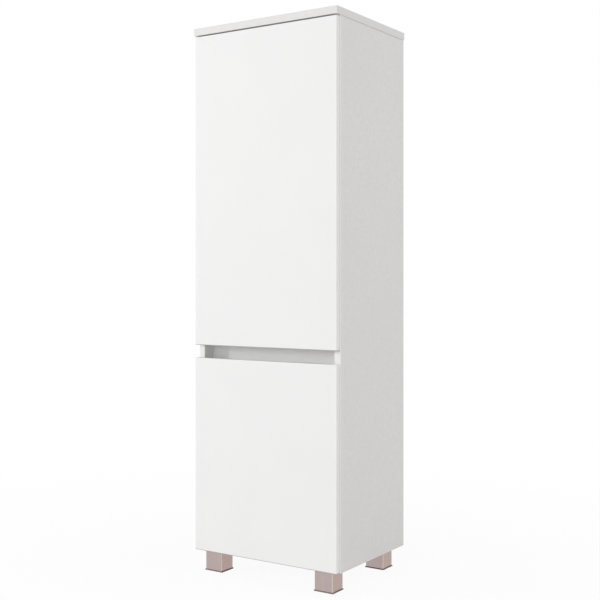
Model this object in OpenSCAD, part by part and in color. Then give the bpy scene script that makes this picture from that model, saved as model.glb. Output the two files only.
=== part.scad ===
// Tall bathroom cabinet with two doors, a finger recess between them and four levelling feet.
// Origin: middle of the footprint, on the floor. +Z up, the doors face -Y, +X to the right.

/* [Carcass] */
// Width over both side panels
carcass_w = 400; // [320:1:600]
// Depth of a side panel, front edge to rear edge
side_d = 330; // [260:1:400]
// Thickness of the side panels and of the boards between them
board_t = 16; // [15:0.5:19]
// Clear height of the carcass above the floor
ground_gap = 50; // [44:1:80]
// Thickness of the back panel
back_t = 3; // [3:0.5:5]
// Distance from the rear edge of a side panel to its back panel groove
back_inset = 10; // [8:1:20]
// Depth of the back panel groove
groove_d = 6; // [4:0.5:8]
// Radius of the side panels' front edges
panel_edge_r = 1; // [0.5:0.1:1.5]

/* [Top panel] */
// Thickness of the top panel
top_t = 18; // [16:0.5:28]
// How far the top panel reaches past each side panel
top_side_over = 2.5; // [0:0.5:10]
// How far the top panel reaches past the door fronts
top_front_over = 2.5; // [0:0.5:10]

/* [Doors] */
// Height of the lower door
lower_door_h = 478; // [420:1:560]
// Height of the upper door
upper_door_h = 767; // [700:1:900]
// Thickness of the doors
door_t = 16; // [16:0.5:19]
// Gap between a closed door and the front edges of the carcass
door_gap = 1.5; // [1.5:0.1:3]
// How far a door stays short of the side panel's outer face, each side
door_side_reveal = 0; // [0:0.1:2]
// Lower edge of the lower door above the underside of the carcass
door_bottom_reveal = 2; // [0.5:0.5:4]
// Gap between the upper door and the top panel
door_top_gap = 3; // [1.5:0.5:4]
// Radius of the doors' upright front edges
door_front_r = 0.8; // [0.5:0.1:2]
// Radius of the doors' upright back edges, which swing past the side panels
door_edge_r = 1.5; // [1.5:0.1:2]

/* [Finger recess] */
// Height of the open slot between the two doors
slot_h = 32; // [25:1:45]
// How far the boards of the recess stand behind the door edges, above and below the slot
slot_board_back = 16; // [10:1:25]
// Depth of the recess behind the front edges of the carcass
recess_d = 36; // [25:1:60]

/* [Shelves] */
// Underside of the lower compartment's shelf above the bottom panel
low_shelf_rise = 216; // [180:4:240]
// Underside of the first upper shelf above the upper compartment's floor
first_shelf_rise = 236; // [200:4:270]
// Distance between the undersides of the two upper shelves
shelf_step = 248; // [220:4:260]
// Shelf front edge behind the front edges of the carcass
shelf_front_in = 20; // [16:1:40]
// Gap between a shelf and each side panel
shelf_side_gap = 0.5; // [0.3:0.1:1]
// Gap between a shelf and the back panel
shelf_back_gap = 2; // [1:0.5:6]
// Distance between the holes of a pin row
hole_pitch = 32; // [26:1:32]
// Distance of the pin rows from the front and rear edges of a side panel
hole_edge = 37; // [37:1:45]
// Diameter of the pin holes
hole_d = 5; // [5:0.5:6]
// Depth of the pin holes
hole_depth = 11; // [10:0.5:12]

/* [Board joints] */
// Diameter of a cam nut
cam_d = 15; // [12:0.5:15]
// Height of a cam nut
cam_h = 12; // [11:0.5:12.5]
// Distance from a board's end to the middle of its cam nut
cam_reach = 24; // [20:1:34]
// Distance of the cams from a board's front and rear edges
cam_edge = 62; // [56:1:80]
// Diameter of a cam bolt's shaft
cam_bolt_d = 6; // [5:0.5:7]
// Length of a cam bolt's thread in the side panel
cam_thread = 11; // [9:0.5:12]
// Diameter of the wooden dowels
dowel_d = 8; // [6:0.5:8]
// Length of the wooden dowels
dowel_l = 30; // [24:1:34]
// Distance from a cam bolt to the dowel beside it
dowel_step = 32; // [24:1:40]

/* [Hinges] */
// Hinge middle from the door's upper and lower ends
hinge_end = 90; // [70:1:110]
// Diameter of the hinge pin
hinge_pin_d = 2.4; // [2:0.1:2.6]
// Diameter of the hinge cup
cup_d = 35; // [35:0.5:36]
// Depth of the hinge cup
cup_depth = 12.4; // [12.4:0.1:13]
// Wall of the hinge cup
cup_wall = 0.8; // [0.6:0.1:1]
// Distance from the door's edge to the hinge cup
cup_tab = 1.5; // [1.3:0.1:1.6]
// Thickness of the cup's flange
cup_flange_t = 1; // [0.8:0.1:1]
// Distance between the two screws of a hinge cup
cup_screw_step = 45; // [42:1:50]
// Outer width of the hinge arm
arm_w = 14; // [12:0.5:15]
// Sheet thickness of the hinge arm
arm_t = 1.6; // [1.2:0.1:1.8]
// Height of the arm over the side panel's inner face
arm_rise = 12; // [11:0.5:14]
// Length of the arm behind the front edges of the carcass
arm_back = 62; // [58:1:70]
// Thickness of the mounting plate's base
plate_t = 2.5; // [2.2:0.1:3]
// Diameter of the bumpers on the doors
bumper_d = 8; // [6:0.5:10]
// Thickness of the bumpers on the doors
bumper_t = 1.2; // [0.8:0.1:1.3]

/* [Feet] */
// Outer width of the square foot sleeve
foot_w = 48; // [42:1:50]
// Wall of the foot sleeve
foot_wall = 1.5; // [1.2:0.1:2]
// Foot sleeve from the side panel's outer face
foot_side_in = 20; // [18:1:40]
// Front feet behind the front edges of the carcass
foot_front_in = 0; // [0:1:20]
// Rear feet from the rear edges of the side panels
foot_rear_in = 26; // [15:1:50]
// Width of the square foot pad
pad_w = 52; // [46:1:56]
// Thickness of the foot pad's plate
pad_t = 2; // [2:0.1:4]
// Thread diameter of the levelling spindle
spindle_d = 10; // [8:0.5:10]
// How far a foot can be screwed out
level_travel = 6; // [4:0.5:6]

/* [Wall bracket] */
// Width of the wall bracket
bracket_w = 40; // [36:1:60]
// Length of the bracket's upright leg
bracket_leg = 30; // [26:1:40]
// Sheet thickness of the bracket
bracket_t = 2; // [1.5:0.1:3]
// Diameter of the hole for the wall screw
wall_hole_d = 5.5; // [4.5:0.5:7]

/* [Fits] */
// Radial clearance of turning pins and of screws in their threads
fit = 0.05; // [0.03:0.01:0.08]
// Clearance of pieces that are pushed into a hole, groove or sleeve
push_fit = 0.1; // [0.05:0.05:0.15]
// Clearance beside moving pieces
free_fit = 0.3; // [0.2:0.05:0.35]

/* [Hidden] */
$fn = 48;

// Cutters run this far past the faces that they open
over = 1;
// Free depth past the tip of a screw or pin, and past a dowel, bolt or nut
tip_gap = 1;
hole_spare = 0.5;

// Cross recesses of the screws and cam nuts: length and width of a slot, and depth
cross_w = 4.4;
cross_slot = 1;
cross_depth = 1.1;
cam_cross_w = 7;
cam_cross_slot = 1.4;
cam_cross_depth = 2.4;

// Heights
carcass_z0 = ground_gap;
lower_door_z0 = carcass_z0 + door_bottom_reveal;
lower_door_z1 = lower_door_z0 + lower_door_h;
upper_door_z0 = lower_door_z1 + slot_h;
upper_door_z1 = upper_door_z0 + upper_door_h;
carcass_z1 = upper_door_z1 + door_top_gap;
side_h = carcass_z1 - carcass_z0;
bottom_top_z = carcass_z0 + board_t;
ceiling_z0 = lower_door_z1 - slot_board_back - board_t;
ceiling_z1 = ceiling_z0 + board_t;
floor_z0 = upper_door_z0 + slot_board_back;
floor_z1 = floor_z0 + board_t;

// Widths and depths
inner_w = carcass_w - 2 * board_t;
top_w = carcass_w + 2 * top_side_over;
total_d = side_d + door_gap + door_t + top_front_over;
rear_y = total_d / 2;
front_y = rear_y - side_d;
door_back_y = front_y - door_gap;
door_front_y = door_back_y - door_t;
groove_w = back_t + 2 * push_fit;
back_face_y = rear_y - back_inset - push_fit - back_t;
inner_d = back_face_y - front_y;
groove_floor_gap = 0.5;
back_in_groove = groove_d - groove_floor_gap;
groove_land = 1;
inner_board_back_y = rear_y - back_inset - groove_w - groove_land;
recess_y = front_y + recess_d;

// Shelves and their pins
low_shelf_z = bottom_top_z + low_shelf_rise;
first_shelf_z = floor_z1 + first_shelf_rise;
second_shelf_z = first_shelf_z + shelf_step;
shelf_w = inner_w - 2 * shelf_side_gap;
shelf_y0 = front_y + shelf_front_in;
shelf_y1 = back_face_y - shelf_back_gap;
pin_tongue_t = 2;
pin_tongue_w = 7;
pin_reach = 8;
pin_hole_under = 0.5;
pin_hole_drop = pin_tongue_t + pin_hole_under;
rows_each_way = 2;
row_front_y = front_y + hole_edge;
row_rear_y = rear_y - hole_edge;

// Cam joints: a cam nut lies in the horizontal board, its bolt stands in the upright one
cam_front_y = front_y + cam_edge;
cam_rear_y = inner_board_back_y - cam_edge;
cam_neck_cut = 1;
cam_neck_d = cam_bolt_d - cam_neck_cut;
cam_head_l = 3;
cam_collar_gap = 1;
cam_shaft = cam_reach - cam_collar_gap;
cam_bolt_z = board_t / 2;
top_cam_ys = [cam_front_y, rear_y - cam_edge];
top_dowel_ys = [top_cam_ys[0] + dowel_step, top_cam_ys[1] - dowel_step];
// Wood left behind the end of a dowel in a side panel or in the top panel
dowel_cover = 4;
dowel_in_side = board_t - dowel_cover;
dowel_in_board = dowel_l - dowel_in_side;

// Hinges, measured inwards (u) and forwards (v) from the corner of the side panel's outer face and front edge
upper_hinge_z = [upper_door_z0 + hinge_end, upper_door_z1 - hinge_end];
lower_hinge_z = [lower_door_z0 + hinge_end, lower_door_z1 - hinge_end];
cup_u = door_side_reveal + cup_tab + cup_d / 2;
cup_inner_r = cup_d / 2 - cup_wall;
cup_screw_in = 9.5;
cup_screw_u = cup_u + cup_screw_in;
cup_screw_r = 1.9;
cup_screw_l = 10;
cup_head_r = 3.5;
cup_head_t = 1.4;
cup_ear_r = 7;
// The pin lies as near to the door's edge, and as deep in the cup, as the arm's eyes can
eye_wall = 1;
eye_r = hinge_pin_d / 2 + eye_wall;
eye_gap = 0.15;
pivot_u = cup_u - sqrt(pow(cup_inner_r, 2) - pow(arm_w / 2, 2)) + eye_r + eye_gap;
pivot_deep = cup_depth - cup_wall - eye_r - eye_gap;
pivot_v = door_gap + pivot_deep;
bearing_z0 = arm_w / 2 + free_fit;
bearing_t = 2.4;
bearing_wall = 1.4;
bearing_r = hinge_pin_d / 2 + bearing_wall;
pin_short = 0.2;
pin_half = bearing_z0 + bearing_t - pin_short;
flange_past_pivot = 2.3;
flange_rim = 1;
flange_u0 = pivot_u - flange_past_pivot;
flange_u1 = cup_u + cup_d / 2 + flange_rim;
eye_to_web = 1.5;
neck_gap = 1.6;
neck_u0 = pivot_u + pivot_deep + cup_flange_t + neck_gap;
neck_u1 = neck_u0 + 2 * arm_t;
strap_low = 0.9;
strap_high = arm_t;
arm_top_u = board_t + arm_rise;
arm_front_v = -10;
neck_foot_v = -2;
hinge_screw_r = 2.45;
plate_top_u = board_t + plate_t;
cheek_u0 = plate_top_u + free_fit;
plate_front_v = -22;
// The plate's base runs past the arm at the rear, and its rail stops short of the arm's end
plate_past_arm = 2;
rail_short = 2;
rail_under_arm = 0.4;
plate_rear_v = -arm_back - plate_past_arm;
plate_half_w = 8;
plate_screw_v = -hole_edge;
ear_r = 6;
rail_front_v = -26;
rail_rear_v = -arm_back + rail_short;
rail_half_w = arm_w / 2 - arm_t - free_fit;
rail_top_u = arm_top_u - arm_t - rail_under_arm;
side_screw_v = -31;
fix_screw_v = -46;
arm_head_t = 2.2;
arm_head_r = 4.2;
plate_head_r = 3.6;
plate_head_t = 1.6;
plate_screw_l = 10;
bumper_end = 30;

// Feet
foot_x = carcass_w / 2 - foot_side_in - foot_w / 2;
foot_front_y = front_y + foot_front_in + foot_w / 2;
foot_rear_y = rear_y - foot_rear_in - foot_w / 2;
sleeve_z0 = pad_t + free_fit;
foot_plate_t = 2;
foot_plate_z = carcass_z0 - foot_plate_t;
core_h = 20;
core_z0 = foot_plate_z - core_h;
core_w = foot_w - 2 * foot_wall - 2 * push_fit;
foot_corner_r = 1.2;
pad_corner_r = 2;
foot_screw_off = 14;
foot_screw_r = 2.2;
foot_screw_l = 12;
foot_screw_head_r = 4;
foot_screw_head_t = 2.4;
key_hole_r = 4.5;
key_hole_room = 1;
key_w = 5;
key_depth = 8;
journal_r = 3;
bead_lip = 1;
bead_r = journal_r + bead_lip;
bead_t = 1;
bead_z = 1.6;
hub_r = 8;
hub_z1 = 8.5;
collar_t = 1.5;
collar_r = 7;
spindle_under_plate = 1;
spindle_z1 = foot_plate_z - spindle_under_plate;
guide_overlap = 4;
guide_wall = 1.6;
guide_z1 = sleeve_z0 + level_travel + guide_overlap;
guide_w = foot_w - 2 * foot_wall - 2 * free_fit;

// Wall bracket
bracket_foot_d = 25;
bracket_screw_r = 1.9;
bracket_screw_l = 12;
bracket_head_r = 3.6;
bracket_head_t = 1.6;
bracket_screw_edge = 8;
bracket_screw_x = bracket_w / 2 - bracket_screw_edge;
wall_hole_rise = 12;
wall_hole_z = carcass_z1 - bracket_leg + wall_hole_rise;
back_hole_room = 1;

// Colours as the photograph shows them
board_white = [0.93, 0.92, 0.92];
door_white = [0.97, 0.97, 0.97];
side_pearl = [0.90, 0.89, 0.89];
foot_metal = [0.74, 0.68, 0.66];
nickel = [0.72, 0.72, 0.70];
dark_plastic = [0.30, 0.29, 0.28];
wood_brown = [0.78, 0.66, 0.48];
clear_grey = [0.85, 0.86, 0.86];

// A plain board from its lower corner
module board(x, y, z, w, d, h) {
    translate([x, y, z]) cube([w, d, h]);
}

// A round bar along X, from a start point, with its length signed
module bar_x(x, y, z, r, l) {
    translate([l < 0 ? x + l : x, y, z]) rotate([0, 90, 0]) cylinder(r = r, h = abs(l));
}

// A round bar along Y that starts at y and runs to the rear
module bar_y(x, y, z, r, l) {
    translate([x, y, z]) rotate([-90, 0, 0]) cylinder(r = r, h = l);
}

// A cross recess for a screwdriver, cut down from z = 0
module cross_recess(w = cross_w, slot = cross_slot, depth = cross_depth) {
    for (a = [0, 90]) rotate([0, 0, a]) translate([-w / 2, -slot / 2, -depth]) cube([w, slot, depth + over]);
}

// A square outline with round corners, centred
module round_square(w, r) {
    union() {
        square([w - 2 * r, w], center = true);
        square([w, w - 2 * r], center = true);
        for (sx = [-1, 1], sy = [-1, 1]) translate([sx * (w / 2 - r), sy * (w / 2 - r)]) circle(r);
    }
}

// Places of the horizontal boards that stand between the side panels: underside height and rear edge
function between_boards() = [carcass_z0, ceiling_z0, floor_z0];

// Cam joints of the boards between the side panels
module at_board_cams() {
    for (z = between_boards(), y = [cam_front_y, cam_rear_y], s = [-1, 1])
        translate([s * inner_w / 2, y, z + cam_bolt_z]) scale_x(s) children();
}

// Dowels of the boards between the side panels
module at_board_dowels() {
    for (z = between_boards(), y = [cam_front_y + dowel_step, cam_rear_y - dowel_step], s = [-1, 1])
        translate([s * inner_w / 2, y, z + cam_bolt_z]) scale_x(s) children();
}

// Dowels that hold the ends of the grip rail
module at_rail_dowels() {
    for (z = [ceiling_z1 + slot_board_back, floor_z0 - slot_board_back], s = [-1, 1])
        translate([s * inner_w / 2, recess_y + board_t / 2, z]) scale_x(s) children();
}

// Upright joints between a side panel and the top panel, at their meeting plane
module at_top_joints(ys) {
    for (y = ys, s = [-1, 1]) translate([s * (carcass_w - board_t) / 2, y, carcass_z1]) scale_x(s) children();
}

// Turns the drawing so that +X points out of the cabinet on either side
module scale_x(s) {
    if (s > 0) children();
    else mirror([1, 0, 0]) children();
}

// Holes for one horizontal cam joint: the board's share reaches in, the side's share reaches out
module cam_hole_in_board() {
    bar_x(0, 0, 0, cam_bolt_d / 2 + push_fit, -cam_reach);
}

module cam_hole_in_side() {
    bar_x(0, 0, 0, hole_d / 2 + fit, cam_thread + hole_spare);
}

module dowel_hole(l) {
    bar_x(0, 0, 0, dowel_d / 2 + push_fit, l);
}

module dowel_holes_for_board() {
    at_board_dowels() dowel_hole(-dowel_l / 2 - hole_spare);
}

// Outline of the right side panel, with rounded front edges
module side_outline() {
    r = panel_edge_r;
    translate([inner_w / 2, front_y + r]) square([board_t, side_d - r]);
    translate([inner_w / 2 + r, front_y]) square([board_t - 2 * r, side_d]);
    for (x = [inner_w / 2 + r, carcass_w / 2 - r]) translate([x, front_y + r]) circle(r);
}

// A side panel: s is 1 on the right and -1 on the left
module side_panel(s) {
    difference() {
        translate([0, 0, carcass_z0]) linear_extrude(side_h) scale_x(s) side_outline();
        // Groove for the back panel
        board(s > 0 ? inner_w / 2 - over : -inner_w / 2 - groove_d, rear_y - back_inset - groove_w,
            carcass_z0 - over, groove_d + over, groove_w, side_h + 2 * over);
        at_board_cams() cam_hole_in_side();
        at_board_dowels() dowel_hole(dowel_in_side + hole_spare);
        at_rail_dowels() dowel_hole(dowel_in_side + hole_spare);
        at_top_joints(top_cam_ys) {
            translate([0, 0, -cam_reach]) cylinder(r = cam_bolt_d / 2 + push_fit, h = cam_reach + over);
            translate([-board_t / 2 - over, 0, -cam_reach]) rotate([0, 90, 0])
                cylinder(r = cam_d / 2 + push_fit, h = cam_h + hole_spare + over);
        }
        at_top_joints(top_dowel_ys)
            translate([0, 0, -dowel_in_board - hole_spare])
                cylinder(r = dowel_d / 2 + push_fit, h = dowel_in_board + hole_spare + over);
        at_pin_holes(s) bar_x(0, 0, 0, hole_d / 2, hole_depth);
        if (s < 0) at_all_plate_screws() bar_x(over, 0, 0, hinge_screw_r + fit, -plate_screw_l - over);
    }
}

// Every hole of the shelf pin rows, at the side panel's inner face
module at_pin_holes(s) {
    for (z = [low_shelf_z, first_shelf_z, second_shelf_z], i = [-rows_each_way : rows_each_way],
            y = [row_front_y, row_rear_y])
        translate([s * inner_w / 2, y, z - pin_hole_drop + i * hole_pitch]) scale_x(s) children();
}

// Screws of the hinge mounting plates, at the left side panel's inner face, +X into the cabinet
module at_all_plate_screws() {
    for (z = concat(upper_hinge_z, lower_hinge_z), k = [-1, 1])
        translate([-inner_w / 2, front_y - plate_screw_v, z + k * hole_pitch / 2]) children();
}

module side_left() { color(side_pearl) side_panel(-1); }
module side_right() { color(side_pearl) side_panel(1); }

module top_panel() {
    color(board_white) difference() {
        board(-top_w / 2, -total_d / 2, carcass_z1, top_w, total_d, top_t);
        board(-inner_w / 2 - groove_d, rear_y - back_inset - groove_w, carcass_z1 - over,
            inner_w + 2 * groove_d, groove_w, groove_d + over);
        at_top_joints(top_cam_ys) translate([0, 0, -over])
            cylinder(r = hole_d / 2 + fit, h = cam_thread + hole_spare + over);
        at_top_joints(top_dowel_ys) translate([0, 0, -over])
            cylinder(r = dowel_d / 2 + push_fit, h = dowel_in_side + hole_spare + over);
        at_bracket_screws() translate([0, 0, -over])
            cylinder(r = bracket_screw_r + fit, h = bracket_screw_l + over);
    }
}

// A board between the side panels, with its cams sunk from above or from below
module between_board(z, y0, y1, cams_up) {
    cam_hole_z = cams_up ? board_t / 2 - cam_h - hole_spare : -board_t / 2 - over;
    difference() {
        board(-inner_w / 2, y0, z, inner_w, y1 - y0, board_t);
        at_board_cams() cam_hole_in_board();
        at_board_cams() translate([-cam_reach, 0, cam_hole_z])
            cylinder(r = cam_d / 2 + push_fit, h = cam_h + hole_spare + over);
        at_board_dowels() dowel_hole(-dowel_in_board - hole_spare);
    }
}

module bottom_panel() {
    color(board_white) difference() {
        between_board(carcass_z0, front_y, rear_y, false);
        board(-inner_w / 2 - over, rear_y - back_inset - groove_w, bottom_top_z - groove_d,
            inner_w + 2 * over, groove_w, groove_d + over);
        at_feet() translate([0, 0, carcass_z0 - over]) cylinder(r = key_hole_r, h = board_t + 2 * over);
        at_foot_screws() translate([0, 0, -over]) cylinder(r = foot_screw_r + fit, h = foot_screw_l + over);
    }
}

module upper_floor() {
    color(board_white) between_board(floor_z0, front_y, back_face_y - push_fit, false);
}

module lower_ceiling() {
    color(board_white) between_board(ceiling_z0, front_y, back_face_y - push_fit, true);
}

module grip_rail() {
    color(board_white) difference() {
        board(-inner_w / 2, recess_y, ceiling_z1, inner_w, board_t, floor_z0 - ceiling_z1);
        at_rail_dowels() dowel_hole(-dowel_in_board - hole_spare);
    }
}

module back_panel() {
    color(board_white) difference() {
        board(-inner_w / 2 - back_in_groove, back_face_y, bottom_top_z - back_in_groove,
            inner_w + 2 * back_in_groove, back_t, carcass_z1 - bottom_top_z + 2 * back_in_groove);
        bar_y(0, back_face_y - over, wall_hole_z, wall_hole_d / 2 + back_hole_room, back_t + 2 * over);
    }
}

module shelf(z) {
    color(board_white) board(-shelf_w / 2, shelf_y0, z, shelf_w, shelf_y1 - shelf_y0, board_t);
}

module shelf_upper_high() { shelf(second_shelf_z); }
module shelf_upper_low() { shelf(first_shelf_z); }
module shelf_lower() { shelf(low_shelf_z); }

// A shelf pin at the side panel's inner face: shank outwards, tongue inwards under the shelf
module shelf_pin() {
    bar_x(0, 0, 0, hole_d / 2 - fit, hole_depth - tip_gap);
    bar_x(0, 0, 0, hole_d / 2 - fit, -pin_reach);
    translate([-pin_reach, -pin_tongue_w / 2, pin_hole_drop - pin_tongue_t])
        cube([pin_reach, pin_tongue_w, pin_tongue_t]);
}

module shelf_pins() {
    color(nickel)
        for (z = [low_shelf_z, first_shelf_z, second_shelf_z], y = [row_front_y, row_rear_y], s = [-1, 1])
            translate([s * inner_w / 2, y, z - pin_hole_drop]) scale_x(s) shelf_pin();
}

// A cam nut with the bore that the bolt's head goes in, and a cross recess in its open face
module cam_nut() {
    difference() {
        cylinder(r = cam_d / 2, h = cam_h);
        translate([0, 0, cam_h - board_t / 2]) rotate([0, 90, 0])
            cylinder(r = cam_bolt_d / 2 + push_fit, h = cam_d / 2 + over);
        translate([0, 0, cam_h]) rotate([0, 0, 45])
            cross_recess(cam_cross_w, cam_cross_slot, cam_cross_depth);
    }
}

module cam_nuts() {
    color(nickel) {
        for (z = between_boards(), y = [cam_front_y, cam_rear_y], s = [-1, 1])
            translate([s * (inner_w / 2 - cam_reach), y, z == ceiling_z0 ? z + board_t : z]) scale_x(s)
                mirror([0, 0, z == ceiling_z0 ? 0 : 1]) translate([0, 0, -cam_h]) cam_nut();
        at_top_joints(top_cam_ys) translate([-board_t / 2, 0, -cam_reach]) rotate([0, 90, 0])
            mirror([0, 0, 1]) translate([0, 0, -cam_h]) rotate([0, 0, 180]) cam_nut();
    }
}

// A cam bolt on the joint plane: thread outwards, shaft and head inwards
module cam_bolt() {
    bar_x(0, 0, 0, hole_d / 2, cam_thread);
    bar_x(0, 0, 0, cam_neck_d / 2, -cam_shaft);
    bar_x(0, 0, 0, cam_bolt_d / 2, -(cam_reach - cam_d / 2 - cam_collar_gap));
    bar_x(-cam_shaft, 0, 0, cam_bolt_d / 2, cam_head_l);
}

module cam_bolts() {
    color(nickel) {
        at_board_cams() cam_bolt();
        at_top_joints(top_cam_ys) rotate([0, -90, 0]) cam_bolt();
    }
}

module dowels() {
    color(wood_brown) {
        at_board_dowels() bar_x(-dowel_in_board, 0, 0, dowel_d / 2, dowel_l);
        at_rail_dowels() bar_x(-dowel_in_board, 0, 0, dowel_d / 2, dowel_l);
        at_top_joints(top_dowel_ys)
            translate([0, 0, -dowel_in_board]) cylinder(r = dowel_d / 2, h = dowel_l);
    }
}

module at_bracket_screws() {
    for (s = [-1, 1])
        translate([s * bracket_screw_x, back_face_y - bracket_foot_d / 2, carcass_z1]) children();
}

// Angle bracket under the top panel, with a hole for the screw into the room's wall
module wall_bracket() {
    color(nickel) difference() {
        union() {
            board(-bracket_w / 2, back_face_y - bracket_foot_d, carcass_z1 - bracket_t,
                bracket_w, bracket_foot_d, bracket_t);
            board(-bracket_w / 2, back_face_y - bracket_t, carcass_z1 - bracket_leg,
                bracket_w, bracket_t, bracket_leg);
        }
        at_bracket_screws() translate([0, 0, -bracket_t - over])
            cylinder(r = bracket_screw_r + fit, h = bracket_t + 2 * over);
        bar_y(0, back_face_y - bracket_t - over, wall_hole_z, wall_hole_d / 2, bracket_t + 2 * over);
    }
}

module bracket_screws() {
    color(nickel) at_bracket_screws() difference() {
        union() {
            translate([0, 0, -bracket_t - bracket_head_t])
                cylinder(r = bracket_head_r, h = bracket_head_t);
            translate([0, 0, -bracket_t])
                cylinder(r = bracket_screw_r, h = bracket_t + bracket_screw_l - tip_gap);
        }
        translate([0, 0, -bracket_t - bracket_head_t]) mirror([0, 0, 1]) cross_recess();
    }
}

// Feet
module at_feet() {
    for (sx = [-1, 1], y = [foot_front_y, foot_rear_y]) translate([sx * foot_x, y, 0]) children();
}

module at_foot_screws() {
    at_feet() for (k = [-1, 1]) translate([k * foot_screw_off, 0, carcass_z0]) children();
}

module at_foot(sx, y) {
    translate([sx * foot_x, y, 0]) children();
}

// Square metal sleeve, closed above by a plate that is screwed under the carcass
module foot_sleeve() {
    color(foot_metal) difference() {
        translate([0, 0, sleeve_z0]) linear_extrude(carcass_z0 - sleeve_z0)
            round_square(foot_w, foot_corner_r);
        translate([0, 0, sleeve_z0 - over]) linear_extrude(foot_plate_z - sleeve_z0 + over)
            square(foot_w - 2 * foot_wall, center = true);
        cylinder(r = key_hole_r + key_hole_room, h = carcass_z0 + over);
        for (k = [-1, 1]) translate([k * foot_screw_off, 0, 0])
            cylinder(r = foot_screw_r + fit, h = carcass_z0 + over);
    }
}

// Plastic block in the sleeve with the thread for the spindle and two ways for the screws
module foot_core() {
    color(dark_plastic) difference() {
        translate([-core_w / 2, -core_w / 2, core_z0]) cube([core_w, core_w, core_h]);
        translate([0, 0, core_z0 - over]) cylinder(r = spindle_d / 2 + fit, h = core_h + 2 * over);
        for (k = [-1, 1]) translate([k * foot_screw_off, 0, core_z0 - over])
            cylinder(r = foot_screw_head_r + push_fit, h = core_h + 2 * over);
    }
}

module foot_screws() {
    color(nickel) at_foot_screws() difference() {
        union() {
            translate([0, 0, -foot_plate_t])
                cylinder(r = foot_screw_r, h = foot_plate_t + foot_screw_l - tip_gap);
            translate([0, 0, -foot_plate_t - foot_screw_head_t])
                cylinder(r = foot_screw_head_r, h = foot_screw_head_t);
        }
        translate([0, 0, -foot_plate_t - foot_screw_head_t]) mirror([0, 0, 1]) cross_recess();
    }
}

// Square pad on the floor: plate, guide frame inside the sleeve and hub for the spindle
module foot_pad() {
    color(dark_plastic) difference() {
        union() {
            linear_extrude(pad_t) round_square(pad_w, pad_corner_r);
            linear_extrude(guide_z1) difference() {
                square(guide_w, center = true);
                square(guide_w - 2 * guide_wall, center = true);
            }
            cylinder(r = hub_r, h = hub_z1);
        }
        translate([0, 0, bead_z - fit]) cylinder(r = bead_r + fit, h = bead_t + 2 * fit);
        translate([0, 0, bead_z]) cylinder(r = journal_r + fit, h = hub_z1);
    }
}

// Levelling spindle: bead and journal in the pad's hub, collar on the hub, thread in the core
module spindle() {
    color(nickel) difference() {
        union() {
            translate([0, 0, bead_z]) cylinder(r = bead_r, h = bead_t);
            translate([0, 0, bead_z]) cylinder(r = journal_r, h = hub_z1 + fit - bead_z + collar_t);
            translate([0, 0, hub_z1 + fit]) cylinder(r = collar_r, h = collar_t);
            translate([0, 0, hub_z1 + fit]) cylinder(r = spindle_d / 2, h = spindle_z1 - hub_z1 - fit);
        }
        translate([0, 0, spindle_z1 - key_depth])
            cylinder(r = key_w / sqrt(3), h = key_depth + over, $fn = 6);
    }
}

module foot_sleeve_fl() { at_foot(-1, foot_front_y) foot_sleeve(); }
module foot_sleeve_fr() { at_foot(1, foot_front_y) foot_sleeve(); }
module foot_sleeve_rl() { at_foot(-1, foot_rear_y) foot_sleeve(); }
module foot_sleeve_rr() { at_foot(1, foot_rear_y) foot_sleeve(); }
module foot_core_fl() { at_foot(-1, foot_front_y) foot_core(); }
module foot_core_fr() { at_foot(1, foot_front_y) foot_core(); }
module foot_core_rl() { at_foot(-1, foot_rear_y) foot_core(); }
module foot_core_rr() { at_foot(1, foot_rear_y) foot_core(); }
module foot_pad_fl() { at_foot(-1, foot_front_y) foot_pad(); }
module foot_pad_fr() { at_foot(1, foot_front_y) foot_pad(); }
module foot_pad_rl() { at_foot(-1, foot_rear_y) foot_pad(); }
module foot_pad_rr() { at_foot(1, foot_rear_y) foot_pad(); }
module spindle_fl() { at_foot(-1, foot_front_y) spindle(); }
module spindle_fr() { at_foot(1, foot_front_y) spindle(); }
module spindle_rl() { at_foot(-1, foot_rear_y) spindle(); }
module spindle_rr() { at_foot(1, foot_rear_y) spindle(); }

// Hinges. At each hinge X runs into the cabinet from the side panel's outer face,
// and Y runs to the rear from the front edges of the carcass.
module at_hinges(zs) {
    for (z = zs) translate([-carcass_w / 2, front_y, z]) children();
}

// Turns plan points given as [inwards, forwards] into the drawing's own axes
function plan(points) = [for (p = points) [p[0], -p[1]]];

// A door board with round upright edges and the bores of its hinge cups
module door(z0, h, hinge_zs) {
    color(door_white) difference() {
        translate([0, (door_front_y + door_back_y) / 2, z0]) linear_extrude(h) door_outline();
        at_hinges(hinge_zs) {
            bar_y(cup_u, -door_gap - cup_depth - push_fit, 0, cup_d / 2 + push_fit,
                cup_depth + push_fit + over);
            at_cup_screws() bar_y(0, -door_gap - cup_screw_l, 0, cup_screw_r + fit, cup_screw_l + over);
        }
    }
}

// Outline of a door seen from above, centred, with its front towards -Y
module door_outline() {
    w = carcass_w - 2 * door_side_reveal;
    front_r = door_front_r;
    back_r = door_edge_r;
    translate([-w / 2, front_r - door_t / 2]) square([w, door_t - front_r - back_r]);
    translate([front_r - w / 2, -door_t / 2]) square([w - 2 * front_r, door_t / 2]);
    translate([back_r - w / 2, 0]) square([w - 2 * back_r, door_t / 2]);
    for (s = [-1, 1]) {
        translate([s * (w / 2 - front_r), front_r - door_t / 2]) circle(front_r);
        translate([s * (w / 2 - back_r), door_t / 2 - back_r]) circle(back_r);
    }
}

module upper_door() { door(upper_door_z0, upper_door_h, upper_hinge_z); }
module lower_door() { door(lower_door_z0, lower_door_h, lower_hinge_z); }

module at_cup_screws() {
    for (k = [-1, 1]) translate([cup_screw_u, 0, k * cup_screw_step / 2]) children();
}

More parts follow.
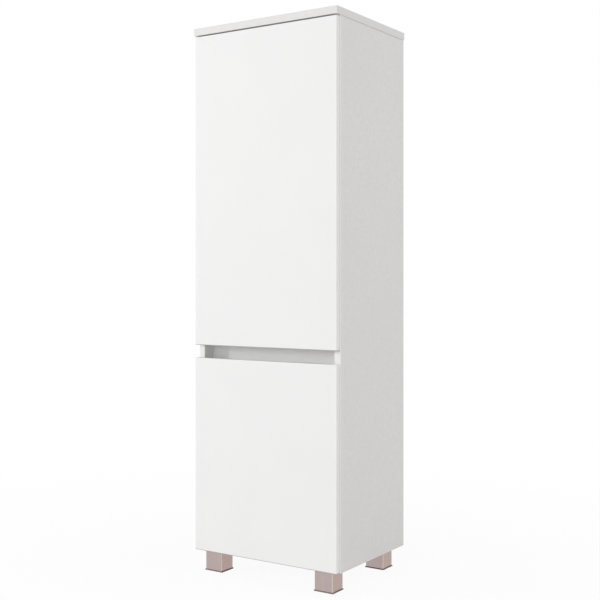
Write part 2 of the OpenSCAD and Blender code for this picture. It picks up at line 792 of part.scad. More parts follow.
// Hinge cup: pot in the door, flange on the door's back, bearings for the pin
module hinge_cup() {
    difference() {
        union() {
            bar_y(cup_u, -door_gap - cup_depth, 0, cup_d / 2, cup_depth);
            translate([0, -door_gap + cup_flange_t, 0]) rotate([90, 0, 0]) linear_extrude(cup_flange_t)
                flange_outline();
        }
        difference() {
            bar_y(cup_u, -door_gap - cup_depth + cup_wall, 0, cup_inner_r, cup_depth + cup_flange_t + over);
            pin_bearings();
        }
        translate([pivot_u, -pivot_v, -pin_half - fit])
            cylinder(r = hinge_pin_d / 2 + fit, h = 2 * (pin_half + fit));
        at_cup_screws() bar_y(0, -door_gap - over, 0, cup_screw_r + fit, cup_flange_t + 2 * over);
    }
}

// Two cheeks that rise from the cup's floor beside the arm and hold the pin's ends
module pin_bearings() {
    for (k = [-1, 1]) translate([pivot_u - bearing_r - cup_wall, -door_gap - cup_depth, 0])
        translate([0, 0, k * (bearing_z0 + bearing_t / 2) - bearing_t / 2])
            cube([2 * bearing_r + cup_wall, cup_depth - pivot_deep + bearing_r, bearing_t]);
}

module flange_outline() {
    intersection() {
        union() {
            translate([cup_u, 0]) circle(cup_d / 2 + flange_rim);
            for (k = [-1, 1]) translate([cup_screw_u, k * cup_screw_step / 2]) circle(cup_ear_r);
            translate([cup_screw_u - cup_ear_r, -cup_screw_step / 2]) square([2 * cup_ear_r, cup_screw_step]);
        }
        translate([flange_u0, -cup_screw_step])
            square([flange_u1 - flange_u0 + cup_ear_r, 2 * cup_screw_step]);
    }
}

module upper_hinge_cups() { color(nickel) at_hinges(upper_hinge_z) hinge_cup(); }
module lower_hinge_cups() { color(nickel) at_hinges(lower_hinge_z) hinge_cup(); }

module hinge_pin() {
    translate([pivot_u, -pivot_v, -pin_half]) cylinder(r = hinge_pin_d / 2, h = 2 * pin_half);
}

module upper_hinge_pins() { color(nickel) at_hinges(upper_hinge_z) hinge_pin(); }
module lower_hinge_pins() { color(nickel) at_hinges(lower_hinge_z) hinge_pin(); }

module cup_screw() {
    difference() {
        union() {
            bar_y(0, -door_gap - cup_screw_l + tip_gap, 0, cup_screw_r, cup_screw_l - tip_gap + cup_flange_t);
            bar_y(0, -door_gap + cup_flange_t, 0, cup_head_r, cup_head_t);
        }
        translate([0, -door_gap + cup_flange_t + cup_head_t, 0]) rotate([-90, 0, 0]) cross_recess();
    }
}

module upper_cup_screws() { color(nickel) at_hinges(upper_hinge_z) at_cup_screws() cup_screw(); }
module lower_cup_screws() { color(nickel) at_hinges(lower_hinge_z) at_cup_screws() cup_screw(); }

// Goose-neck arm: two cheeks with eyes on the pin, joined by a web over neck and plate
module hinge_arm() {
    difference() {
        union() {
            for (z = [-arm_w / 2, arm_w / 2 - arm_t]) translate([0, 0, z]) linear_extrude(arm_t) {
                polygon(plan(cheek_points()));
                translate([pivot_u, -pivot_v]) circle(eye_r);
            }
            translate([0, 0, -arm_w / 2 + arm_t / 2]) linear_extrude(arm_w - arm_t)
                polygon(plan(web_points()));
        }
        translate([pivot_u, -pivot_v, -arm_w]) cylinder(r = hinge_pin_d / 2 + fit, h = 2 * arm_w);
        for (v = [side_screw_v, fix_screw_v])
            bar_x(board_t, -v, 0, hinge_screw_r + push_fit, arm_rise + over);
    }
}

function cheek_points() = [
    [pivot_u, pivot_v - strap_low],
    [neck_u0, pivot_v - strap_low],
    [neck_u0, neck_foot_v],
    [cheek_u0, arm_front_v],
    [cheek_u0, -arm_back],
    [arm_top_u, -arm_back],
    [arm_top_u, arm_front_v],
    [neck_u1, neck_foot_v],
    [neck_u1, pivot_v + strap_high],
    [pivot_u, pivot_v + strap_high]
];

function web_points() = [
    [pivot_u + eye_r + eye_to_web, pivot_v + strap_high],
    [neck_u1, pivot_v + strap_high],
    [neck_u1, neck_foot_v],
    [arm_top_u, arm_front_v],
    [arm_top_u, -arm_back],
    [arm_top_u - arm_t, -arm_back],
    [arm_top_u - arm_t, arm_front_v - arm_t / 2],
    [neck_u1 - arm_t, neck_foot_v - arm_t / 2],
    [neck_u1 - arm_t, pivot_v + strap_high - arm_t],
    [pivot_u + eye_r + eye_to_web, pivot_v + strap_high - arm_t]
];

module upper_hinge_arms() { color(nickel) at_hinges(upper_hinge_z) hinge_arm(); }
module lower_hinge_arms() { color(nickel) at_hinges(lower_hinge_z) hinge_arm(); }

// Mounting plate: base with two ears on the side panel, and the rail that carries the arm
module hinge_plate() {
    difference() {
        union() {
            translate([board_t, -plate_front_v, -plate_half_w])
                cube([plate_t, plate_front_v - plate_rear_v, 2 * plate_half_w]);
            translate([board_t, -plate_screw_v - ear_r, -hole_pitch / 2])
                cube([plate_t, 2 * ear_r, hole_pitch]);
            for (k = [-1, 1]) bar_x(board_t, -plate_screw_v, k * hole_pitch / 2, ear_r, plate_t);
            translate([board_t, -rail_front_v, -rail_half_w])
                cube([rail_top_u - board_t, rail_front_v - rail_rear_v, 2 * rail_half_w]);
        }
        for (k = [-1, 1]) {
            bar_x(board_t - over, -plate_screw_v, k * hole_pitch / 2, hinge_screw_r + push_fit,
                plate_t + 2 * over);
            bar_x(plate_top_u - plate_head_t, -plate_screw_v, k * hole_pitch / 2, plate_head_r + push_fit,
                plate_head_t + over);
        }
        for (v = [side_screw_v, fix_screw_v])
            bar_x(plate_top_u, -v, 0, hinge_screw_r + fit, rail_top_u - plate_top_u + over);
    }
}

module upper_hinge_plates() { color(nickel) at_hinges(upper_hinge_z) hinge_plate(); }
module lower_hinge_plates() { color(nickel) at_hinges(lower_hinge_z) hinge_plate(); }

module plate_screws() {
    neck_x = plate_t - plate_head_t;
    color(nickel) at_all_plate_screws() difference() {
        union() {
            bar_x(neck_x, 0, 0, plate_head_r, plate_head_t);
            bar_x(neck_x, 0, 0, hinge_screw_r, -plate_screw_l - neck_x + tip_gap);
        }
        translate([plate_t, 0, 0]) rotate([0, 90, 0]) cross_recess();
    }
}

// One of the two screws that hold an arm on its plate, v in front of the carcass
module arm_screw(v) {
    difference() {
        union() {
            bar_x(plate_top_u + hole_spare, -v, 0, hinge_screw_r, arm_top_u - plate_top_u - hole_spare);
            bar_x(arm_top_u, -v, 0, arm_head_r, arm_head_t);
        }
        translate([arm_top_u + arm_head_t, -v, 0]) rotate([0, 90, 0]) cross_recess();
    }
}

module arm_screws() {
    color(nickel) at_hinges(concat(upper_hinge_z, lower_hinge_z)) {
        arm_screw(side_screw_v);
        arm_screw(fix_screw_v);
    }
}

// Soft round bumpers on the free side of a door's back
module bumpers(z0, h) {
    color(clear_grey) for (z = [z0 + bumper_end, z0 + h - bumper_end])
        bar_y(carcass_w / 2 - board_t / 2, door_back_y, z, bumper_d / 2, bumper_t);
}

module upper_bumpers() { bumpers(upper_door_z0, upper_door_h); }
module lower_bumpers() { bumpers(lower_door_z0, lower_door_h); }

side_left();
side_right();
top_panel();
bottom_panel();
upper_floor();
lower_ceiling();
grip_rail();
back_panel();
shelf_upper_high();
shelf_upper_low();
shelf_lower();
shelf_pins();
cam_nuts();
cam_bolts();
dowels();
wall_bracket();
bracket_screws();
foot_sleeve_fl();
foot_sleeve_fr();
foot_sleeve_rl();
foot_sleeve_rr();
foot_core_fl();
foot_core_fr();
foot_core_rl();
foot_core_rr();
foot_screws();
foot_pad_fl();
foot_pad_fr();
foot_pad_rl();
foot_pad_rr();
spindle_fl();
spindle_fr();
spindle_rl();
spindle_rr();
upper_door();
lower_door();
upper_hinge_cups();
lower_hinge_cups();
upper_cup_screws();
lower_cup_screws();
upper_hinge_pins();
lower_hinge_pins();
upper_bumpers();
lower_bumpers();
upper_hinge_arms();
lower_hinge_arms();
upper_hinge_plates();
lower_hinge_plates();
plate_screws();
arm_screws();
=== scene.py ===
"""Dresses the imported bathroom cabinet: finishes, rounded arrises, studio and camera."""
import math

import bpy
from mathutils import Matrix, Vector


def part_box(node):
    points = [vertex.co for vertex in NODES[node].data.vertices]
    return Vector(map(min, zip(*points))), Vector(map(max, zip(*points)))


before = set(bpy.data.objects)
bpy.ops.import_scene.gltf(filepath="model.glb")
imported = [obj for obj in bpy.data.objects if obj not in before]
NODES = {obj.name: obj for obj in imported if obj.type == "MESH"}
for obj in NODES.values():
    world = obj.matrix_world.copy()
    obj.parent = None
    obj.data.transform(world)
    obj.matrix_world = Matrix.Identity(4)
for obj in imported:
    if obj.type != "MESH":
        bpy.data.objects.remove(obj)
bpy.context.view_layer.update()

MM = 0.001

# Edge band: its thickness on the boards and on the side panels, and the half width of its joint
BAND_T = 0.8 * MM
SIDE_BAND_T = 3.0 * MM
BAND_LINE_MM = 0.07
SEAM_SHARE = 0.35
SEAM_TONE = 0.72

# Depth of the facing before the core shows, of the raw chipboard at the side panels' rear edges,
# and of the plain white on their inner faces
SKIN = 0.35 * MM
RAW_ARRIS_MM = 0.8
INNER_MM = 0.3

# Height of the painted shade, a grey line along the lower arris of each door
LOWER_SHADE_LINE = 1.7 * MM

# Depth of the white print on the inner face of the back panel
PRINT_T = 0.2 * MM

# Width of the painted highlight along the corners of a foot
CORNER_R = 1.2 * MM

# Rounding of the arrises, in millimetres
ROUND_BOARD = 0.4
ROUND_TOP = 0.5
ROUND_SLEEVE = 0.35
ROUND_CORE = 0.3
ROUND_PAD = 0.12
ROUND_HINGE = 0.15
ROUND_BUMPER = 0.2
ROUND_STEPS = 2
SHARP_ANGLE = 40
FLAT_ANGLE = 0.5
WELD_MM = 0.0005
FACE_WEIGHT = 100

# Boards and doors
DOOR_WHITE = (0.875, 0.875, 0.875)
BOARD_WHITE = (0.815, 0.815, 0.805)
TOP_WHITE = (0.760, 0.758, 0.753)
SIDE_PEARL = (0.783, 0.765, 0.772)
SIDE_TINT = (0.775, 0.745, 0.755)
RAIL_WHITE = (0.92, 0.92, 0.915)
INNER_DARK = (0.909, 0.909, 0.904)
INNER_PALE = (0.931, 0.931, 0.926)
BAND_WHITE = (0.88, 0.88, 0.875)
# Painted highlight on the flanks of the side panels' white front band:
BAND_FLANK_HIGHLIGHT = (0.97, 0.97, 0.965)
# Painted shade along the doors' lower arris:
LOWER_EDGE_SHADE = (0.40, 0.40, 0.40)

# Wood: chipboard, door fibreboard, back panel print, bare back panel and beech, dark and pale
CHIP_DARK = (0.36, 0.24, 0.13)
CHIP_PALE = (0.66, 0.50, 0.31)
CHIP_FLECK = (0.17, 0.10, 0.05)
FIBRE_DARK = (0.40, 0.29, 0.18)
FIBRE_PALE = (0.56, 0.43, 0.29)
PRINT_WHITE = (0.80, 0.79, 0.77)
PRINT_DARK = (0.775, 0.765, 0.745)
PRINT_PALE = (0.83, 0.822, 0.806)
PRINT_CLOUD = (0.74, 0.725, 0.70)
BARE_DARK = (0.27, 0.165, 0.085)
BARE_PALE = (0.40, 0.265, 0.15)
BARE_CLOUD = (0.33, 0.21, 0.115)
BEECH = (0.60, 0.44, 0.26)
BEECH_DARK = (0.50, 0.35, 0.19)
BEECH_PALE = (0.70, 0.54, 0.34)

# Metal and plastic
FOOT_METAL = (0.475, 0.388, 0.379)
# Painted warm reflection on the side faces of a foot, and painted highlight along its corners:
FOOT_SIDE_REFLECTION = (0.485, 0.370, 0.331)
FOOT_CORNER_HIGHLIGHT = (0.80, 0.71, 0.68)
NICKEL = (0.62, 0.60, 0.57)
ZINC = (0.50, 0.50, 0.51)
PAD_GREY = (0.275, 0.257, 0.250)
CORE_GREY = (0.085, 0.080, 0.078)
BUMPER_CLEAR = (0.80, 0.81, 0.81)
BUMPER_DARK = (0.76, 0.77, 0.77)
BUMPER_PALE = (0.84, 0.85, 0.85)

# Parts of a noise pattern's range that are stretched to the full range
WIDE = (0.3, 0.7)
MIDDLE = (0.32, 0.68)
NARROW = (0.35, 0.65)
FULL = (0.0, 1.0)

# Stretch of a pattern that runs along one axis
ALONG_X = (0.2, 1, 1)
FIBRE_RUN = (1, 1, 0.35)
STRAND_RUN = (1, 1, 0.5)
PULP_RUN = (1, 1, 0.4)
BRUSH_RUN = (1, 1, 0.02)
BRUSH_BANDS = (1, 1, 0.05)

# Camera that fits the photograph's perspective: focal length and principal point in pixels
FIT_F = 1079.84
FIT_YAW = math.radians(36.064)
FIT_U0 = 203.09
FIT_V0 = 278.62
IMAGE_PX = 600.0
SENSOR_MM = 36.0
CAMERA_AT = Vector((1.4031, -2.3415, 0.7270))

# Studio
CENTRE = (0, 0, 0.7)
AMBIENT = 0.60
AMBIENT_TINT = (1.0, 0.99, 0.985, 1)
WHITE = (1, 1, 1, 1)
FLOOR_WHITE = (0.90, 0.90, 0.90)
FLOOR_HALF = 9.0
SHADOW_NEAR = (0.3, 1.6)
SHADOW_SHARE = (0.93, 1.0)
NEUTRAL = (1, 1, 1)
WARM = (1.0, 0.985, 0.98)

# Lamps: name, place, width and height in metres, watts, tint
LAMPS = (
    ("key", (-8.55, -6.15, 2.8), 1.5, 3.0, 352.0, NEUTRAL),
    ("front", (-0.4, -7.2, 1.8), 3.4, 3.0, 75.0, NEUTRAL),
    ("side", (3.6, 0.4, 1.6), 2.0, 2.4, 20.0, WARM),
)


def toned(colour, factor):
    """colour made lighter or darker by a factor, at most white."""
    return tuple(min(1.0, channel * factor) for channel in colour)


# Shader graphs

class Finish:
    """A Principled material, with short calls for the nodes that vary it over the surface."""

    def __init__(self, name, colour, roughness, metallic=0.0, specular=0.5):
        self.material = bpy.data.materials.new(name)
        self.material.use_nodes = True
        self.nodes = self.material.node_tree.nodes
        self.links = self.material.node_tree.links
        self.shader = self.nodes["Principled BSDF"]
        self.shader.inputs["Base Color"].default_value = (*colour, 1.0)
        self.shader.inputs["Roughness"].default_value = roughness
        self.shader.inputs["Metallic"].default_value = metallic
        self.shader.inputs["Specular IOR Level"].default_value = specular
        coordinates = self.nodes.new("ShaderNodeTexCoord")
        self.position = coordinates.outputs["Object"]
        self.direction = coordinates.outputs["Normal"]
        self.normal = None

    def link(self, source, target):
        self.links.new(source, target)

    def stretched(self, scale):
        """The object's position with each axis scaled, so that a pattern runs along one of them."""
        node = self.nodes.new("ShaderNodeMapping")
        node.inputs["Scale"].default_value = scale
        self.link(self.position, node.inputs["Vector"])
        return node.outputs["Vector"]

    def noise(self, period_mm, detail=2.0, rough=0.5, stretch=(1, 1, 1)):
        """Soft noise from 0 to 1 whose blotches are about period_mm wide."""
        node = self.nodes.new("ShaderNodeTexNoise")
        node.inputs["Scale"].default_value = 1.0 / (period_mm * MM)
        node.inputs["Detail"].default_value = detail
        node.inputs["Roughness"].default_value = rough
        self.link(self.stretched(stretch), node.inputs["Vector"])
        return node.outputs["Fac"]

    def cells(self, period_mm):
        """One grey level for each of the scattered cells about period_mm wide."""
        node = self.nodes.new("ShaderNodeTexVoronoi")
        node.inputs["Scale"].default_value = 1.0 / (period_mm * MM)
        self.link(self.position, node.inputs["Vector"])
        grey = self.nodes.new("ShaderNodeRGBToBW")
        self.link(node.outputs["Color"], grey.inputs["Color"])
        return grey.outputs["Val"]

    def span(self, value, source, target):
        """value mapped from the source range to the target range, clamped."""
        node = self.nodes.new("ShaderNodeMapRange")
        node.inputs["From Min"].default_value, node.inputs["From Max"].default_value = source
        node.inputs["To Min"].default_value, node.inputs["To Max"].default_value = target
        self.link(value, node.inputs["Value"])
        return node.outputs["Result"]

    def maths(self, operation, a, b=None):
        node = self.nodes.new("ShaderNodeMath")
        node.operation = operation
        for socket, value in zip(node.inputs, (a, b)):
            if value is None:
                continue
            if isinstance(value, (int, float)):
                socket.default_value = value
            else:
                self.link(value, socket)
        return node.outputs["Value"]

    def mixed(self, factor, a, b):
        """Colour a where factor is 0 and colour b where it is 1."""
        node = self.nodes.new("ShaderNodeMix")
        node.data_type = "RGBA"
        self.link(factor, node.inputs["Factor"])
        for name, value in (("A", a), ("B", b)):
            socket = next(s for s in node.inputs if s.name == name and s.type == "RGBA")
            if isinstance(value, tuple):
                socket.default_value = (*value[:3], 1.0)
            else:
                self.link(value, socket)
        return next(s for s in node.outputs if s.type == "RGBA")

    def scaled(self, colour, factor):
        """colour times a factor that varies over the surface."""
        node = self.nodes.new("ShaderNodeVectorMath")
        node.operation = "SCALE"
        self.link(colour, node.inputs[0])
        self.link(factor, node.inputs["Scale"])
        return node.outputs["Vector"]

    def set_colour(self, socket):
        self.link(socket, self.shader.inputs["Base Color"])

    def set_roughness(self, pattern, low, high, source=WIDE):
        """Roughness from low to high, as the pattern goes through the source range."""
        self.link(self.span(pattern, source, (low, high)), self.shader.inputs["Roughness"])

    def bump(self, height, depth_mm):
        """Adds a relief of depth_mm to the surface, on top of any earlier one."""
        node = self.nodes.new("ShaderNodeBump")
        node.inputs["Distance"].default_value = depth_mm * MM
        node.inputs["Strength"].default_value = 1.0
        self.link(height, node.inputs["Height"])
        if self.normal is not None:
            self.link(self.normal, node.inputs["Normal"])
        self.normal = node.outputs["Normal"]
        self.link(self.normal, self.shader.inputs["Normal"])

    def axis(self, index):
        """One coordinate of the object's position, in metres."""
        node = self.nodes.new("ShaderNodeSeparateXYZ")
        self.link(self.position, node.inputs["Vector"])
        return node.outputs[index]

    def distance(self, index, place):
        """Distance from the plane where the coordinate equals place, in metres."""
        return self.maths("ABSOLUTE", self.maths("SUBTRACT", self.axis(index), place))

    def near_plane(self, index, place, half_mm):
        """1 within half_mm of the plane where the coordinate equals place."""
        return self.maths("LESS_THAN", self.distance(index, place), half_mm * MM)

    def core(self, low, high):
        """1 deeper than SKIN inside the box from low to high, and 0 nearer its faces and outside."""
        result = None
        for index in range(3):
            value = self.axis(index)
            above = self.maths("GREATER_THAN", value, low[index] + SKIN)
            below = self.maths("LESS_THAN", value, high[index] - SKIN)
            both = self.maths("MULTIPLY", above, below)
            result = both if result is None else self.maths("MULTIPLY", result, both)
        return result

    def facing(self, index):
        """1 where the surface looks along the axis, either way, and 0 where it is square to it."""
        node = self.nodes.new("ShaderNodeSeparateXYZ")
        self.link(self.direction, node.inputs["Vector"])
        return self.span(self.maths("ABSOLUTE", node.outputs[index]), (0.45, 0.85), FULL)


def chipboard_colour(finish):
    """Pressed wood chips: pale and dark flecks of a few millimetres."""
    tone = finish.span(finish.noise(2.5, detail=4.0, rough=0.7), WIDE, FULL)
    base = finish.mixed(tone, CHIP_DARK, CHIP_PALE)
    dark = finish.span(finish.cells(1.6), (0.35, 0.25), (0.0, 0.8))
    return finish.mixed(dark, base, CHIP_FLECK)


def board_finish(name, node, colour, tint=None, mottle_mm=1.5, mottle=0.012, banded=False):
    """Melamine on chipboard: mottled facing, fine grain, the band's joint and raw core in the drillings.

    A banded board is a side panel: its inner face is plain white, a white band covers its front
    edge with a painted highlight on the faces that turn away from the front, and its rear edge is raw.
    """
    low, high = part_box(node)
    band_t = SIDE_BAND_T if banded else BAND_T
    finish = Finish(name, colour, 0.42, specular=0.45)
    fine = finish.span(finish.noise(mottle_mm, detail=3.0, rough=0.65), NARROW, FULL)
    soft = finish.span(finish.noise(5.5 * mottle_mm, rough=0.6), MIDDLE, FULL)
    both = finish.maths("MULTIPLY", finish.maths("ADD", fine, soft), 0.5)
    pearl = finish.mixed(both, toned(colour, 1 - mottle), toned(colour, 1 + mottle))
    drift = finish.span(finish.noise(240.0, detail=1.0), WIDE, FULL)
    shade = finish.mixed(finish.maths("MULTIPLY", drift, 0.5), pearl, tint or colour)
    if banded:
        inner = finish.near_plane(0, min((low.x, high.x), key=abs), INNER_MM)
        shade = finish.mixed(inner, shade, finish.mixed(both, INNER_DARK, INNER_PALE))
        # Painted highlight: the band's faces square to the front take a paler white than its front face
        strip = finish.mixed(finish.facing(1), BAND_FLANK_HIGHLIGHT, BAND_WHITE)
        front = finish.maths("LESS_THAN", finish.axis(1), low.y + band_t)
        shade = finish.mixed(front, shade, strip)
    seam = finish.near_plane(1, low.y + band_t, BAND_LINE_MM)
    face = finish.mixed(finish.maths("MULTIPLY", seam, SEAM_SHARE), shade, toned(colour, SEAM_TONE))
    core = finish.core(low, high)
    if banded:
        core = finish.maths("MAXIMUM", core, finish.near_plane(1, high.y, RAW_ARRIS_MM))
    finish.set_colour(finish.mixed(core, face, chipboard_colour(finish)))
    finish.set_roughness(finish.noise(3.0), 0.38, 0.50)
    finish.bump(finish.noise(1.1, rough=0.6), 0.020)
    return finish.material


def lacquer_finish(name, node, colour):
    """Satin lacquer on fibreboard: soft orange peel, a little tone drift, painted shade along the lower
    arris, fibre brown in the drillings.
    """
    low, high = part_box(node)
    finish = Finish(name, colour, 0.52, specular=0.32)
    drift = finish.span(finish.noise(180.0, detail=1.0), WIDE, FULL)
    face = finish.mixed(drift, toned(colour, 0.992), toned(colour, 1.006))
    # Painted shade: the lowest part of the door turns grey, standing in for the shade on its lower arris
    lower = finish.span(finish.axis(2), (low.z + 0.5 * LOWER_SHADE_LINE, low.z + 1.1 * LOWER_SHADE_LINE), (1.0, 0.0))
    face = finish.mixed(lower, face, LOWER_EDGE_SHADE)
    fibre = finish.mixed(finish.noise(0.9, detail=3.0), FIBRE_DARK, FIBRE_PALE)
    finish.set_colour(finish.mixed(finish.core(low, high), face, fibre))
    finish.set_roughness(finish.noise(14.0), 0.48, 0.56)
    finish.bump(finish.noise(4.5, detail=1.0), 0.030)
    finish.bump(finish.noise(0.8, detail=1.0), 0.004)
    return finish.material


def fibreboard_finish(name, node):
    """Thin back panel: off-white print towards the inside, bare brown fibres outside and at the edges."""
    low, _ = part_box(node)
    finish = Finish(name, PRINT_WHITE, 0.62, specular=0.3)
    fibres = finish.span(finish.noise(1.4, detail=4.0, rough=0.7, stretch=FIBRE_RUN), NARROW, FULL)
    cloud = finish.noise(60.0)
    face = finish.mixed(fibres, PRINT_DARK, PRINT_PALE)
    face = finish.mixed(finish.maths("MULTIPLY", cloud, 0.25), face, PRINT_CLOUD)
    strands = finish.span(finish.noise(2.2, detail=5.0, rough=0.75, stretch=STRAND_RUN), WIDE, FULL)
    bare = finish.mixed(strands, BARE_DARK, BARE_PALE)
    bare = finish.mixed(finish.maths("MULTIPLY", cloud, 0.5), bare, BARE_CLOUD)
    inner = finish.maths("LESS_THAN", finish.axis(1), low.y + PRINT_T)
    finish.set_colour(finish.mixed(inner, bare, face))
    finish.set_roughness(fibres, 0.55, 0.70, source=FULL)
    finish.bump(finish.noise(1.0, detail=4.0, rough=0.7, stretch=PULP_RUN), 0.04)
    return finish.material


def corner_highlight_mask(finish, node):
    """1 along the upright corners of a square node, where a highlight is painted on the metal."""
    low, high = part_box(node)
    middle = (low + high) / 2
    half = (high - low) / 2
    edges = []
    for index in (0, 1):
        strip = (half[index] - CORNER_R, half[index] - 0.3 * CORNER_R)
        edges.append(finish.span(finish.distance(index, middle[index]), strip, FULL))
    return finish.maths("MULTIPLY", *edges)


def foot_finish(name, node):
    """Warm satin metal brushed along its height, with a painted highlight on its corners and a painted
    warm reflection on its sides.
    """
    finish = Finish(name, FOOT_METAL, 0.30, metallic=1.0)
    strokes = finish.noise(0.5, detail=3.0, rough=0.7, stretch=BRUSH_RUN)
    bands = finish.noise(9.0, stretch=BRUSH_BANDS)
    # Painted warm reflection: faces that look along x take a warmer copy of the metal colour
    faces = finish.mixed(finish.facing(0), FOOT_METAL, FOOT_SIDE_REFLECTION)
    streaks = finish.span(strokes, WIDE, (0.94, 1.06))
    light = finish.maths("MULTIPLY", streaks, finish.span(bands, WIDE, (1.0, 0.95)))
    # Painted highlight: a paler metal colour along the upright corners
    tone = finish.mixed(corner_highlight_mask(finish, node), faces, FOOT_CORNER_HIGHLIGHT)
    finish.set_colour(finish.scaled(tone, light))
    finish.set_roughness(strokes, 0.24, 0.38)
    finish.bump(strokes, 0.006)
    return finish.material


def plated_finish(name, colour, rough=0.26, spots=0.05):
    """Plated or cast metal with faint drawing marks."""
    finish = Finish(name, colour, rough, metallic=1.0)
    marks = finish.span(finish.noise(1.2, detail=3.0, rough=0.6), WIDE, FULL)
    finish.set_colour(finish.mixed(marks, toned(colour, 1 - spots), toned(colour, 1 + spots)))
    finish.set_roughness(finish.noise(5.0, detail=3.0), rough - 0.06, rough + 0.10)
    finish.bump(finish.noise(0.4), 0.003)
    return finish.material


def plastic_finish(name, colour, rough):
    """Moulded plastic with a fine spark grain."""
    finish = Finish(name, colour, rough, specular=0.4)
    grain = finish.noise(0.5, rough=0.6)
    finish.set_colour(finish.mixed(finish.noise(6.0), toned(colour, 0.9), toned(colour, 1.12)))
    finish.set_roughness(grain, rough - 0.06, rough + 0.08)
    finish.bump(grain, 0.02)
    return finish.material


def dowel_finish(name):
    """Raw beech with its grain along the dowel."""
    finish = Finish(name, BEECH, 0.6, specular=0.3)
    grain = finish.noise(1.0, detail=4.0, rough=0.6, stretch=ALONG_X)
    finish.set_colour(finish.mixed(grain, BEECH_DARK, BEECH_PALE))
    finish.set_roughness(grain, 0.5, 0.7)
    finish.bump(grain, 0.05)
    return finish.material


def bumper_finish(name):
    """Clear soft bumper, slightly milky."""
    finish = Finish(name, BUMPER_CLEAR, 0.18)
    finish.shader.inputs["Transmission Weight"].default_value = 0.55
    finish.shader.inputs["IOR"].default_value = 1.45
    finish.set_colour(finish.mixed(finish.noise(2.0), BUMPER_DARK, BUMPER_PALE))
    finish.bump(finish.noise(1.0, detail=1.0), 0.01)
    return finish.material


# Finishes and rounding on the nodes

def round_arrises(node, radius_mm):
    """Rounds the sharp edges: joins the split vertices, makes flat faces whole, then bevels."""
    weld = node.modifiers.new("seams_joined", "WELD")
    weld.merge_threshold = WELD_MM * MM
    whole = node.modifiers.new("faces_whole", "DECIMATE")
    whole.decimate_type = "DISSOLVE"
    whole.angle_limit = math.radians(FLAT_ANGLE)
    bevel = node.modifiers.new("edge_round", "BEVEL")
    bevel.width = radius_mm * MM
    bevel.segments = ROUND_STEPS
    bevel.limit_method = "ANGLE"
    bevel.angle_limit = math.radians(SHARP_ANGLE)
    bevel.use_clamp_overlap = False
    shading = node.modifiers.new("flat_faces", "WEIGHTED_NORMAL")
    shading.weight = FACE_WEIGHT


def dress(names, material, radius_mm=0.0):
    """Gives nodes their finish and, where a radius is given, softly rounded edges."""
    for name in names:
        node = NODES[name]
        node.data.materials.clear()
        node.data.materials.append(material)
        if radius_mm:
            round_arrises(node, radius_mm)


def named(prefix):
    return [name for name in NODES if name.startswith(prefix)]


for side in ("left", "right"):
    panel = "side_" + side
    pearl = board_finish("pearl_" + side, panel, SIDE_PEARL, SIDE_TINT,
                         mottle_mm=1.9, mottle=0.060, banded=True)
    dress([panel], pearl, ROUND_BOARD)
dress(["top_panel"], board_finish("melamine_top_panel", "top_panel", TOP_WHITE, mottle=0.014), ROUND_TOP)
dress(["grip_rail"], board_finish("melamine_grip_rail", "grip_rail", RAIL_WHITE), ROUND_BOARD)
for panel in ["bottom_panel", "upper_floor", "lower_ceiling"] + named("shelf_upper") + ["shelf_lower"]:
    dress([panel], board_finish("melamine_" + panel, panel, BOARD_WHITE), ROUND_BOARD)
for door in ("upper_door", "lower_door"):
    dress([door], lacquer_finish("lacquer_" + door, door, DOOR_WHITE), ROUND_BOARD)
dress(["back_panel"], fibreboard_finish("back_fibreboard", "back_panel"))
for sleeve in named("foot_sleeve"):
    dress([sleeve], foot_finish("metal_" + sleeve, sleeve), ROUND_SLEEVE)
dress(named("foot_core"), plastic_finish("dark_moulded_plastic", CORE_GREY, 0.55), ROUND_CORE)
dress(named("foot_pad"), plastic_finish("grey_moulded_plastic", PAD_GREY, 0.50), ROUND_PAD)
nickel_nodes = named("upper_hinge") + named("lower_hinge") + ["shelf_pins", "wall_bracket"]
dress(nickel_nodes, plated_finish("nickel_plate", NICKEL), ROUND_HINGE)
steel_nodes = named("spindle") + [name for name in NODES if name.endswith("_screws")]
dress(steel_nodes, plated_finish("screw_steel", NICKEL, rough=0.30))
dress(["cam_nuts", "cam_bolts"], plated_finish("cast_zinc", ZINC, rough=0.42, spots=0.10))
dress(["dowels"], dowel_finish("raw_beech"))
dress(["upper_bumpers", "lower_bumpers"], bumper_finish("clear_bumper"), ROUND_BUMPER)


# Camera, floor, surroundings and lamps

def add_camera():
    """Level camera where the photograph's perspective puts it."""
    data = bpy.data.cameras.new("camera")
    camera = bpy.data.objects.new("camera", data)
    bpy.context.scene.collection.objects.link(camera)
    data.sensor_width = SENSOR_MM
    data.lens = FIT_F / IMAGE_PX * SENSOR_MM
    data.shift_x = (IMAGE_PX / 2 - FIT_U0) / IMAGE_PX
    data.shift_y = (FIT_V0 - IMAGE_PX / 2) / IMAGE_PX
    camera.location = CAMERA_AT
    camera.rotation_euler = (math.radians(90), 0, FIT_YAW)
    bpy.context.scene.camera = camera


def white_for_eye(tree, shader, kind, share=None):
    """Mixes plain white into a shader for camera, glossy and transmission rays, by share."""
    nodes, links = tree.nodes, tree.links
    path = nodes.new("ShaderNodeLightPath")
    seen = path.outputs["Is Camera Ray"]
    for ray in ("Is Glossy Ray", "Is Transmission Ray"):
        either = nodes.new("ShaderNodeMath")
        either.operation = "MAXIMUM"
        links.new(seen, either.inputs[0])
        links.new(path.outputs[ray], either.inputs[1])
        seen = either.outputs["Value"]
    if share is not None:
        part = nodes.new("ShaderNodeMath")
        part.operation = "MULTIPLY"
        links.new(seen, part.inputs[0])
        links.new(share, part.inputs[1])
        seen = part.outputs["Value"]
    white = nodes.new(kind)
    white.inputs["Color"].default_value = WHITE
    white.inputs["Strength"].default_value = 1.0
    mix = nodes.new("ShaderNodeMixShader")
    links.new(seen, mix.inputs[0])
    links.new(shader, mix.inputs[1])
    links.new(white.outputs[0], mix.inputs[2])
    return mix.outputs["Shader"]


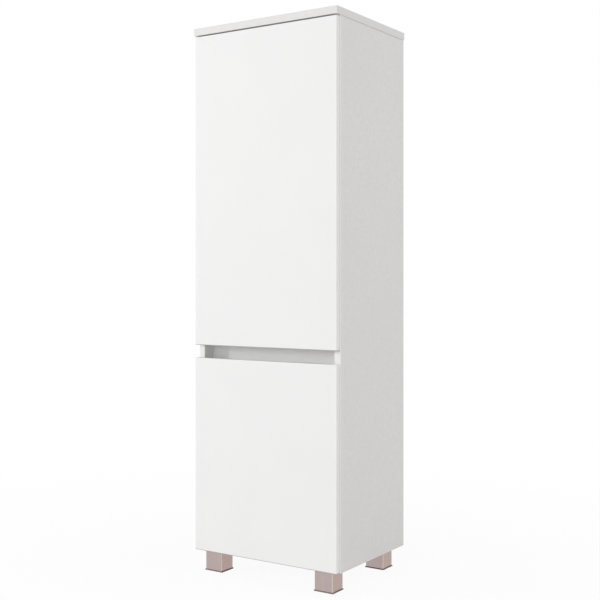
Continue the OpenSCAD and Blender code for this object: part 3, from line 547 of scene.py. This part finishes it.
def add_floor():
    """Wide pale floor: it keeps the cabinet's shadow nearby and turns plain white further off."""
    half = FLOOR_HALF
    corners = [(-half, -half, 0), (half, -half, 0), (half, half, 0), (-half, half, 0)]
    mesh = bpy.data.meshes.new("floor")
    mesh.from_pydata(corners, [], [(0, 1, 2, 3)])
    floor = bpy.data.objects.new("floor", mesh)
    bpy.context.scene.collection.objects.link(floor)
    finish = Finish("floor", FLOOR_WHITE, 0.9)
    reach = finish.nodes.new("ShaderNodeVectorMath")
    reach.operation = "LENGTH"
    finish.link(finish.position, reach.inputs[0])
    share = finish.span(reach.outputs["Value"], SHADOW_NEAR, SHADOW_SHARE)
    tree = finish.material.node_tree
    seen = white_for_eye(tree, finish.shader.outputs[0], "ShaderNodeEmission", share)
    tree.links.new(seen, tree.nodes["Material Output"].inputs["Surface"])
    mesh.materials.append(finish.material)


def add_world():
    """Even pale surroundings: a soft light all round, white behind the object."""
    world = bpy.data.worlds.new("studio")
    bpy.context.scene.world = world
    world.use_nodes = True
    tree = world.node_tree
    tree.nodes.clear()
    soft = tree.nodes.new("ShaderNodeBackground")
    soft.inputs["Color"].default_value = AMBIENT_TINT
    soft.inputs["Strength"].default_value = AMBIENT
    output = tree.nodes.new("ShaderNodeOutputWorld")
    tree.links.new(white_for_eye(tree, soft.outputs[0], "ShaderNodeBackground"), output.inputs["Surface"])


def add_lamp(name, place, width, height, watts, tint):
    """Rectangular lamp that looks at the middle of the cabinet."""
    data = bpy.data.lights.new(name, "AREA")
    data.shape = "RECTANGLE"
    data.size, data.size_y = width, height
    data.energy = watts
    data.color = tint
    lamp = bpy.data.objects.new(name, data)
    bpy.context.scene.collection.objects.link(lamp)
    lamp.location = place
    lamp.rotation_mode = "QUATERNION"
    lamp.rotation_quaternion = (Vector(CENTRE) - Vector(place)).to_track_quat("-Z", "Y")


add_camera()
add_floor()
add_world()
for lamp_facts in LAMPS:
    add_lamp(*lamp_facts)
bpy.context.scene.view_settings.view_transform = "Standard"
